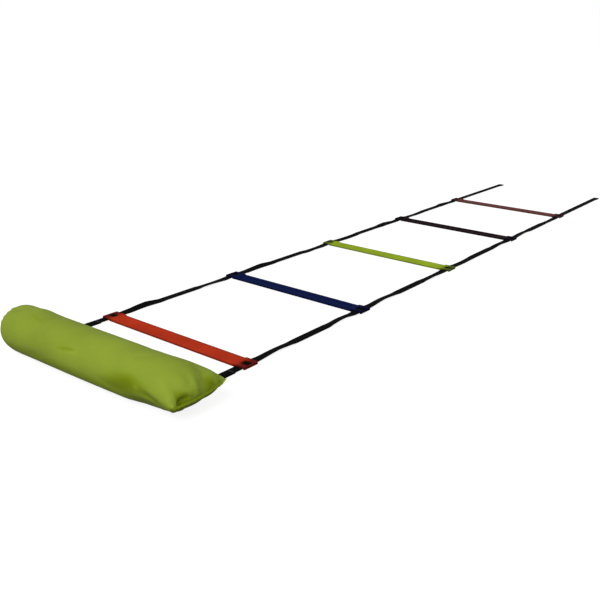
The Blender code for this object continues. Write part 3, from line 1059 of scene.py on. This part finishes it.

# %% [markdown]
# ### Creases
#
# One subdivision gives enough points to sculpt with. A crease brush in code does what the mouse
# would do in sculpt mode: along a line, it presses the cloth in or draws it out, most at the
# middle of the stroke and fading to its sides and ends. The strokes follow the puckers at the
# flat seam: a hollow over each corner, a ridge that runs into it, and a pinch under the bag.
# Round the gathered end, the cloth lies in pleats that run into the neck. The same brush also
# paints shade: into the narrow creases, in a few broad patches, and low down towards the ground.

# %% Creases and pleats
STROKES = (
    # start, end, how far in (out where negative), half width: all in mm
    ((237, -6, 39), (233, -32, 42), 8.0, 8),
    ((238, -20, 34), (236, -34, 36), 5.0, 6),
    ((231, -20, 52), (226, -32, 52), 2.5, 6),
    ((210, -12, 71), (230, -4, 60), -3.2, 12),
    ((204, -31, 66), (224, -38, 46), -2.4, 8),
    ((224, -38, 46), (228, -38, 28), -3.0, 6),
    ((160, -48, 38), (208, -46, 26), 3.6, 12),
    ((174, -47, 42), (194, -46, 32), 2.6, 7),
    ((194, -46, 32), (210, -44, 22), 2.8, 7),
    ((158, -48, 52), (159, -48, 40), -1.6, 4),
    ((224, -36, 19), (230, -30, 21), -2.5, 9),
    ((220, 12, 70), (236, 6, 46), -2.8, 7),
    ((221, 36, 66), (238, 25, 44), 3.2, 10),
    ((204, 30, 77), (228, 54, 60), 4.0, 14),
    ((140, -42, 20), (200, -40, 14), 6.0, 11),
    ((138, -30, 4), (198, -28, 3), 5.0, 13),
    ((-110, -44, 13), (130, -44, 13), -1.6, 13),
    ((237, 64, 45), (212, 62, 48), 4.0, 7),
    ((200, 50, 22), (231, 66, 36), 4.0, 8),
    ((240, -4, 30), (222, -6, 12), 4.5, 8),
    ((240, 34, 34), (220, 28, 12), 4.0, 9),
    ((240, 10, 28), (220, 6, 8), 5.0, 12),
    ((-45, -43, 66), (5, -41, 68), 0.8, 5),
    ((-20, -45, 58), (20, -43, 62), -0.7, 5),
    ((60, -47, 36), (120, -46, 32), 1.0, 8),
    ((90, 47, 34), (140, 46, 28), 1.6, 8),
    ((-120, 46, 30), (-60, 47, 34), 1.2, 8),
    ((-150, -44, 28), (-90, -46, 32), 1.2, 8),
    ((-220, -18, 84), (-196, 6, 89), 5.0, 14),
    ((-182, 14, 85), (-140, 22, 83), -2.6, 18),
    ((128, -20, 82), (152, -8, 86), 1.0, 6),
    ((105, 22, 81), (135, 30, 76), 1.0, 6),
)
# Broad patches of painted shade on the cloth.
SHADE_PATCHES = (
    # start, end, how dark, half width in mm
    ((76, -47, 38), (166, -48, 40), 0.62, 19),
    ((112, -46, 57), (176, -46, 53), 0.36, 14),
    ((233, 30, 58), (238, 46, 42), 0.70, 13),
    ((186, -45, 33), (214, -44, 34), 0.40, 8),
    ((-52, -45, 61), (2, -41, 68), 0.40, 4),
    ((-176, -8, 88), (-104, -24, 83), 0.27, 8),
    ((226, 2, 66), (238, 4, 44), 0.30, 6),
)
CREASE_SHADE = 0.009
BROAD_STROKE = 10
GROUND_REACH = 0.049
GROUND_SHADE = 1.0
PLEATS = 18
PLEAT_DEPTH = 0.0012
PLEAT_START = 0.7
STROKE_END = 0.35


# %% The crease brush


def press(places, start, end, depth, half_width):
    """How far one stroke of the brush along a line moves each point inwards."""
    start, end = np.array(start) / 1000, np.array(end) / 1000
    line = end - start
    share = np.clip((places - start) @ line / max(line @ line, 1e-9), 0.0, 1.0)
    nearest = start + share[:, None] * line
    gap = np.linalg.norm(places - nearest, axis=1) / (half_width / 1000)
    taper = STROKE_END + (1 - STROKE_END) * np.sin(math.pi * share)
    facing = np.clip(1.2 - gap * 0.2, 0.0, 1.0)
    return depth / 1000 * np.exp(-(gap**2)) * taper * facing


def pleat_wave(turn):
    """Uneven pleats round the gathered end: -1 in a valley, 1 on a crest."""
    return np.cos(PLEATS * turn + 1.1 * np.sin(2 * turn) + 0.7 * np.sin(5 * turn + 1))


def crease(obj):
    places = vertex_places(obj)
    normals = np.zeros(len(obj.data.vertices) * 3)
    obj.data.vertices.foreach_get("normal", normals)
    normals = normals.reshape(-1, 3)
    start = places.copy()
    shade = np.zeros(len(places))
    for stroke in STROKES:
        *line, depth, half_width = stroke
        inwards = press(places, *line, depth, half_width)
        places = places - inwards[:, None] * normals
        # A narrow crease also gets painted shade along it.
        if half_width < BROAD_STROKE:
            shade += press(places, *line, depth, 1.4 * half_width) / CREASE_SHADE
    # Broad patches of painted shade.
    for *line, dark, half_width in SHADE_PATCHES:
        shade += press(places, *line, 1000 * dark, half_width)
    # Painted shade that darkens the cloth towards the ground.
    low = np.clip((GROUND_REACH - start[:, 2]) / GROUND_REACH, 0.0, 1.0)
    shade = np.maximum(shade, GROUND_SHADE * low**2 * (3 - 2 * low))
    fold = obj.data.attributes.new("fold", "FLOAT", "POINT")
    fold.data.foreach_set("value", np.clip(shade, 0.0, 1.0).astype(np.float32))
    shoulder = (-BAG_LENGTH / 2 + SHOULDER_LENGTH - start[:, 0]) / SHOULDER_LENGTH
    shoulder = np.clip(shoulder, 0.0, 1.0)
    turn = np.arctan2(start[:, 2] - NECK_HEIGHT, start[:, 1])
    gathered = np.clip((shoulder - PLEAT_START) / (1 - PLEAT_START), 0.0, 1.0)
    depth = PLEAT_DEPTH * gathered**2 * (3 - 2 * gathered)
    places += (depth * pleat_wave(turn))[:, None] * normals
    places[:, 2] = np.maximum(places[:, 2], 0.0)
    wedge = np.clip((start[:, 0] - BAG_LENGTH / 2 + WEDGE_LENGTH) / WEDGE_LENGTH, 0.0, 1.0)
    across = np.clip((start[:, 1] - SEAM_SET_BACK) / SEAM_HALF_WIDTH, -1.0, 1.0)
    places[:, 0] += wedge**3 * seam_bow(across)
    move_to(obj, places)


# %% Draw the creases
finer = bag.modifiers.new("finer", "SUBSURF")
finer.levels = 1
finer.render_levels = 1
apply_modifiers(bag)
for end in (-BAG_LENGTH / 2, BAG_LENGTH / 2):
    pick(bag, "EDGE", lambda e: e.is_boundary and e.verts[0].co.x * end > 0)
    bpy.ops.mesh.edge_face_add()
take(bag)
crease(bag)
bpy.ops.object.shade_smooth()
print("bag cloth:", triangles(bag), "triangles")

# %% [markdown]
# ### Nylon cloth
#
# The cloth is a plain weave of fine nylon yarn, coated inside, with a soft sheen. Its threads
# cross at right angles, so two triangle waves on the cloth's own map make the weave. Handling
# leaves slow changes of tone and small rubbed creases. Shade is painted into the folds, into a
# few broad patches and low down towards the ground, darker and of a deeper green, so each point
# of the body carries how much painted shade it has.

# %% Nylon material
THREAD_PITCH = 0.0006
NYLON_GREEN = (0.238, 0.318, 0.031)


def nylon(name, colour):
    made, nodes, links, shader = new_material(name)
    map_node = nodes.new("ShaderNodeUVMap")
    map_node.uv_map = "weave"
    cloth = map_node.outputs["UV"]
    parts = nodes.new("ShaderNodeSeparateXYZ")
    links.new(cloth, parts.inputs[0])
    warp = math_node(nodes, links, "PINGPONG", parts.outputs["X"], THREAD_PITCH / 2)
    weft = math_node(nodes, links, "PINGPONG", parts.outputs["Y"], THREAD_PITCH / 2)
    weave = math_node(nodes, links, "MAXIMUM", warp, weft)
    weave = spread(nodes, links, weave, 0.0, THREAD_PITCH / 2)
    place = nodes.new("ShaderNodeTexCoord").outputs["Object"]
    tone = noise(nodes, links, place, 9.0, 3.0)
    slub = noise(nodes, links, stretched(nodes, links, cloth, (900.0, 60.0, 1.0)), 1.0, 2.0)
    rumple = noise(nodes, links, stretched(nodes, links, place, (45.0, 90.0, 90.0)), 1.0, 5.0, 0.6)
    deep = tuple(c * 0.88 for c in colour) + (1.0,)
    pale = tuple(c * 1.10 + 0.001 for c in colour) + (1.0,)
    base = mix_colour(nodes, links, spread(nodes, links, tone, 0.3, 0.7), deep, pale)
    shade = tuple(c * 0.84 for c in colour) + (1.0,)
    base = mix_colour(nodes, links, spread(nodes, links, weave, 1.0, 0.0, 0.0, 0.35), base, shade)
    rubbed = tuple(c * 1.14 + 0.004 for c in colour) + (1.0,)
    worn = spread(nodes, links, rumple, 0.60, 0.78, 0.0, 0.45)
    base = mix_colour(nodes, links, worn, base, rubbed)
    # Painted shade from the fold attribute: darker and of a deeper green.
    fold = nodes.new("ShaderNodeAttribute")
    fold.attribute_name = "fold"
    shade_tint_share = spread(nodes, links, fold.outputs["Fac"], 0.08, 0.60, 0.0, 0.75)
    base = mix_colour(nodes, links, shade_tint_share, base, (colour[0], colour[1], 0.0, 1.0))
    folded = (0.30 * colour[0], 0.30 * colour[1], 0.04 * colour[2], 1.0)
    painted_shade_share = spread(nodes, links, fold.outputs["Fac"], 0.15, 1.0, 0.0, 0.80)
    links.new(mix_colour(nodes, links, painted_shade_share, base, folded), shader.inputs["Base Color"])
    links.new(spread(nodes, links, slub, 0.2, 0.8, 0.62, 0.78), shader.inputs["Roughness"])
    shader.inputs["Specular IOR Level"].default_value = 0.05
    shader.inputs["Sheen Weight"].default_value = 0.02
    shader.inputs["Sheen Roughness"].default_value = 0.5
    coarse = bump(nodes, links, rumple, 0.18, 0.0020)
    fine = bump(nodes, links, slub, 0.20, 0.0001, coarse)
    links.new(bump(nodes, links, weave, 0.5, 0.00012, fine), shader.inputs["Normal"])
    return made


green_nylon = nylon("green_nylon", NYLON_GREEN)
print("material:", green_nylon.name)

# %% Set the bag down
bag.data.transform(BAG_PLACE)
bag.data.materials.clear()
bag.data.materials.append(green_nylon)
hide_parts("bag_body")
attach(bag, "bag")
lowest = min(v.co.z for v in bag.data.vertices)
print("bag rests at z mm:", round(1000 * lowest, 2))

# %% [markdown]
# ### The gathered mouth
#
# At its other end the tube is drawn together, and the cloth past the gathering stands out in a
# short pleated frill that hangs a little. It starts as another cylinder in rings. The rings run
# out along the frill, turn over its edge, and go back in between the pleats to the middle, where
# they close.

# %% Mouth
MOUTH_LENGTH = 0.014
MOUTH_RADIUS = 0.0165
MOUTH_DIMPLE = 0.007
MOUTH_SIDES = 216
OUTER_RINGS = 14
INNER_RINGS = 14
HEM_THICK = 0.0012
FRILL_DEPTH = 0.0038
FRILL_SWING = 0.0007
FRILL_DROOP = 0.0050
CLOSED_RADIUS = 0.0006
DEEPEST_PLEAT = 0.7


def frill_ring(i):
    """How far out a ring lies, its radius, and how deep its pleats are."""
    if i < OUTER_RINGS:
        share = i / (OUTER_RINGS - 1)
        radius = between(NECK_RADIUS, MOUTH_RADIUS, share**1.5)
        return MOUTH_LENGTH * share, radius, between(PLEAT_DEPTH, FRILL_DEPTH, smooth(1.6 * share))
    share = (i - OUTER_RINGS) / (INNER_RINGS - 1)
    radius = between(MOUTH_RADIUS - HEM_THICK, CLOSED_RADIUS, share**0.8)
    depth = min(FRILL_DEPTH, DEEPEST_PLEAT * radius)
    return MOUTH_LENGTH - MOUTH_DIMPLE * smooth(share), radius, depth


# %% Draw the mouth together
mouth, ring, side = tube("bag_mouth_frill", OUTER_RINGS + INNER_RINGS, MOUTH_SIDES)
turn = 2 * math.pi * np.arange(MOUTH_SIDES) / MOUTH_SIDES
frill = []
for i in range(OUTER_RINGS + INNER_RINGS):
    out, radius, depth = frill_ring(i)
    swing = FRILL_SWING * smooth(out / MOUTH_LENGTH) * np.sin(3 * turn + 0.5)
    reach = radius + depth * pleat_wave(turn)
    x = -BAG_LENGTH / 2 - out + swing
    middle = NECK_HEIGHT - FRILL_DROOP * (out / MOUTH_LENGTH) ** 1.5
    frill.append(np.stack([x, reach * np.cos(turn), middle + reach * np.sin(turn)], 1))
frill = np.array(frill)
steps = np.linalg.norm(np.diff(frill, axis=0), axis=2).mean(1)
hem_way = np.concatenate([[0.0], np.cumsum(steps)])
map_cloth(mouth, ring, side, hem_way, FULL_GIRTH, MOUTH_SIDES)
move_to(mouth, frill[ring, side])
# %% Close the mouth
for i in (0, OUTER_RINGS + INNER_RINGS - 1):
    at_end = [int(v) for v in np.flatnonzero(ring == i)]
    pick(mouth, "VERT", lambda v: v.index in at_end)
    bpy.ops.mesh.edge_face_add()
pick(mouth, "FACE", lambda f: True)
bpy.ops.mesh.normals_make_consistent(inside=False)
take(mouth)
bpy.ops.object.shade_smooth()
mouth.data.transform(BAG_PLACE)
mouth.data.materials.clear()
mouth.data.materials.append(green_nylon)
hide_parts("bag_mouth")
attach(mouth, "bag")
print("mouth frill:", triangles(mouth), "triangles")

# %% [markdown]
# ### The sewn end
#
# The tube's two layers are sewn together across its end, and the seam allowance stands out past
# the stitches as a thin fin with a bowed edge. A flat grid takes that outline, puckers a little
# towards its free edge, and is given the thickness of the folded cloth. Two rows of stitches run
# along it, one on each face, and short overlocked threads wrap its edge.

# %% Seam allowance
FIN_DEPTH = 0.004
FIN_LIFT = 0.0045
FIN_THICK = 0.0012
FIN_TUCK = 0.0010
FIN_PUCKER = 0.0005
FIN_DROOP = 0.0020
FIN_SHADE = 0.75
FIN_CUTS_ALONG = 95
FIN_CUTS_OUT = 7
FIN_EDGE_ROUND = 0.0005
FIN_SMOOTH_DEG = 50
FIN_PLACE = (
    BAG_PLACE
    @ Matrix.Translation((BAG_LENGTH / 2, SEAM_SET_BACK, SEAM_HEIGHT))
    @ Matrix.Rotation(math.radians(SEAM_TILT_DEG), 4, "X")
)


def fin_reach(share):
    """How far the fin stands out from the seam at a place across it, less at its corners."""
    return FIN_DEPTH * (1 - 0.2 * share**4)


def fin_height(share, out):
    """How high the fin lies: it puckers and hangs towards its edge, but its back corner lifts."""
    wave = math.sin(38 * share + 0.8 * math.sin(7 * share)) + 0.5 * math.sin(61 * share + 1)
    lifted = FIN_LIFT * smooth((share - 0.75) / 0.25)
    return FIN_PUCKER * wave * out + (lifted - FIN_DROOP) * out * out


# %% Shape the seam allowance
bpy.ops.object.select_all(action="DESELECT")
bpy.ops.mesh.primitive_grid_add(
    x_subdivisions=FIN_CUTS_OUT, y_subdivisions=FIN_CUTS_ALONG, size=1
)
fin = bpy.context.active_object
fin.name = "bag_seam_allowance"
layer = fin.data.uv_layers.new(name="weave")
for vertex in fin.data.vertices:
    out, share = vertex.co.x + 0.5, 2 * vertex.co.y
    width = SEAM_HALF_WIDTH * (1 - 0.012 * out)
    reach = seam_bow(share) - FIN_TUCK + out * (fin_reach(share) + FIN_TUCK)
    vertex.co = (reach, share * width, fin_height(share, out))
for loop in fin.data.loops:
    co = fin.data.vertices[loop.vertex_index].co
    layer.data[loop.index].uv = (co.y + SEAM_HALF_WIDTH, co.x)
thick = fin.modifiers.new("layers", "SOLIDIFY")
thick.thickness = FIN_THICK
thick.offset = 0.0
rounded = fin.modifiers.new("soft_edge", "BEVEL")
rounded.width = FIN_EDGE_ROUND
rounded.segments = 3
rounded.limit_method = "ANGLE"
rounded.angle_limit = math.radians(FIN_SMOOTH_DEG)
apply_modifiers(fin)
close_up(fin)
bpy.ops.object.shade_smooth_by_angle(angle=math.radians(FIN_SMOOTH_DEG))
# Painted shade on the seam allowance, less towards its back corner.
fin_painted_shade = fin.data.attributes.new("fold", "FLOAT", "POINT")
for vertex in fin.data.vertices:
    near_tip = smooth((vertex.co.y / SEAM_HALF_WIDTH - 0.7) / 0.25)
    fin_painted_shade.data[vertex.index].value = FIN_SHADE * (1 - near_tip)
fin.data.transform(FIN_PLACE)
fin.data.materials.append(green_nylon)
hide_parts("bag_end_seam")
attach(fin, "bag")
print("seam allowance:", triangles(fin), "triangles")

# %% Stitches along the seam
SEAM_STITCH = 0.0026
SEAM_PITCH = 0.0032
SEAM_INSET = 0.0014
EDGE_PITCH = 0.0022
EDGE_INSET = 0.0016
EDGE_SLANT_DEG = 70
SEWN_WIDTH = 2 * SEAM_HALF_WIDTH * 0.97
SEAM_THREAD = 0.00045

green_thread = thread("green_thread", (0.120, 0.165, 0.020))
row = []
count = int(SEWN_WIDTH / SEAM_PITCH)
for i in range(count):
    y = (i - (count - 1) / 2) * SEAM_PITCH
    share = y / SEAM_HALF_WIDTH
    for face in (-1, 1):
        z = fin_height(share, SEAM_INSET / fin_reach(share)) + face * FIN_THICK * 0.5
        row.append(FIN_PLACE @ Matrix.Translation((seam_bow(share) + SEAM_INSET, y, z)))
count = int(SEWN_WIDTH / EDGE_PITCH)
for i in range(count):
    y = (i - (count - 1) / 2) * EDGE_PITCH
    share = y / SEAM_HALF_WIDTH
    reach = fin_reach(share)
    for face in (-1, 1):
        z = fin_height(share, 1.0) + face * FIN_THICK * 0.5
        edge = seam_bow(share) + reach - EDGE_INSET
        place = FIN_PLACE @ Matrix.Translation((edge, y, z))
        row.append(place @ Matrix.Rotation(math.radians(face * EDGE_SLANT_DEG), 4, "Z"))
seam_row = sew("bag_seam_stitches", row, SEAM_STITCH, SEAM_THREAD)
seam_row.data.materials.append(green_thread)
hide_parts("bag_end_seam")
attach(seam_row, "bag")
print("stitches along the seam:", len(row))
